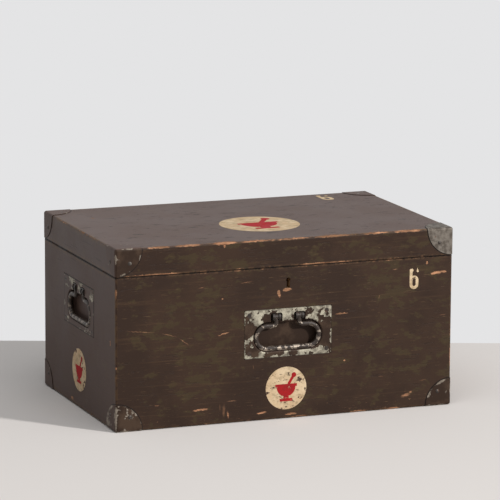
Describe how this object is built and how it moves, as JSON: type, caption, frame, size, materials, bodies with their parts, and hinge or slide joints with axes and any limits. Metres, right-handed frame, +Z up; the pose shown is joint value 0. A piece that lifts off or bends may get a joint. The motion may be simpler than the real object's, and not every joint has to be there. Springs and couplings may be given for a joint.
{
  "type": "apothecary chest",
  "caption": "Wooden medicine chest with a hinged lid, pressed corner caps, recessed drop handles, a box lock and a slotted lid stay.",
  "frame": {"origin": "centre of the footprint's outline, handles and hinge barrels included, on the surface it stands on", "axes": "+Z up, +X along the front to the viewer's right, -Y out of the front with the keyhole"},
  "size_m": [0.6252, 0.401, 0.316],
  "materials": {
    "painted_wood": "worn satin oil paint over pine",
    "bottom_wood": "aged bare pine",
    "nail_steel": "dark aged steel",
    "cap_paint": "flaking paint over zinc-coated sheet",
    "plate_paint": "flaking paint over zinc-coated sheet",
    "lug_paint": "worn dark paint",
    "bail_steel": "worn bright on the grip, dark elsewhere",
    "screw_steel": "dark aged steel",
    "lock_steel": "dull oiled steel",
    "hinge_paint": "worn dark paint",
    "pin_steel": "dull steel",
    "stay_steel": "dull steel",
    "cream_paint": "thin matt oil paint",
    "red_paint": "thin matt oil paint"
  },
  "bodies": {
    "chest": {"front_board": "painted_wood", "back_board": "painted_wood", "left_board": "painted_wood", "right_board": "painted_wood", "bottom_panel": "bottom_wood", "bottom_panel_nails": "nail_steel", "case_cap_front_left": "cap_paint", "case_cap_front_right": "cap_paint", "case_cap_back_left": "cap_paint", "case_cap_back_right": "cap_paint", "case_cap_nails": "nail_steel", "front_handle_plate": "plate_paint", "front_handle_lugs": "lug_paint", "front_plate_screws": "screw_steel", "left_handle_plate": "plate_paint", "left_handle_lugs": "lug_paint", "left_plate_screws": "screw_steel", "right_handle_plate": "plate_paint", "right_handle_lugs": "lug_paint", "right_plate_screws": "screw_steel", "lock_back_plate": "lock_steel", "lock_case": "lock_steel", "lock_key_post": "lock_steel", "lock_screws": "screw_steel", "left_hinge_case_leaf": "hinge_paint", "left_hinge_pin": "pin_steel", "right_hinge_case_leaf": "hinge_paint", "right_hinge_pin": "pin_steel", "hinge_case_screws": "screw_steel", "stay_case_stud": "stay_steel", "case_cream_marks": "cream_paint", "case_red_signs": "red_paint"},
    "lid": {"lid_panel": "painted_wood", "lid_panel_nails": "nail_steel", "lid_front_rail": "painted_wood", "lid_back_rail": "painted_wood", "lid_left_rail": "painted_wood", "lid_right_rail": "painted_wood", "lid_cap_front_left": "cap_paint", "lid_cap_front_right": "cap_paint", "lid_cap_back_left": "cap_paint", "lid_cap_back_right": "cap_paint", "lid_cap_nails": "nail_steel", "lid_lock_staple": "lock_steel", "lid_staple_screws": "screw_steel", "lid_cream_marks": "cream_paint", "lid_red_sign": "red_paint", "left_hinge_lid_leaf": "hinge_paint", "right_hinge_lid_leaf": "hinge_paint", "hinge_lid_screws": "screw_steel", "stay_lid_pivot": "stay_steel"},
    "front_bail": {"front_bail": "bail_steel"},
    "left_bail": {"left_bail": "bail_steel"},
    "right_bail": {"right_bail": "bail_steel"},
    "lock_bolt": {"lock_bolt": "lock_steel"},
    "stay_bar": {"stay_bar": "stay_steel"}
  },
  "joints": [
    {"name": "lid_hinge", "type": "hinge", "parent": "chest", "child": "lid", "pos_m": [0, 0.196, 0.2665], "axis": [-1, 0, 0], "range_deg": [0, 97]},
    {"name": "front_bail_hinge", "type": "hinge", "parent": "chest", "child": "front_bail", "pos_m": [0.003, -0.1939, 0.17975], "axis": [-1, 0, 0], "range_deg": [0, 90]},
    {"name": "left_bail_hinge", "type": "hinge", "parent": "chest", "child": "left_bail", "pos_m": [-0.306, -0.0029, 0.21075], "axis": [0, 1, 0], "range_deg": [0, 90]},
    {"name": "right_bail_hinge", "type": "hinge", "parent": "chest", "child": "right_bail", "pos_m": [0.306, -0.0029, 0.21075], "axis": [0, -1, 0], "range_deg": [0, 90]},
    {"name": "lock_bolt_slide", "type": "slide", "parent": "chest", "child": "lock_bolt", "axis": [1, 0, 0], "range_m": [0, 0.012]},
    {"name": "stay_hinge", "type": "hinge", "parent": "lid", "child": "stay_bar", "pos_m": [0.291, 0.06671, 0.28009], "axis": [1, 0, 0], "range_deg": [0, 48.5]}
  ],
  "couplings": [
    {"joint": "stay_hinge", "follows": "lid_hinge", "ratio": 0.5}
  ]
}
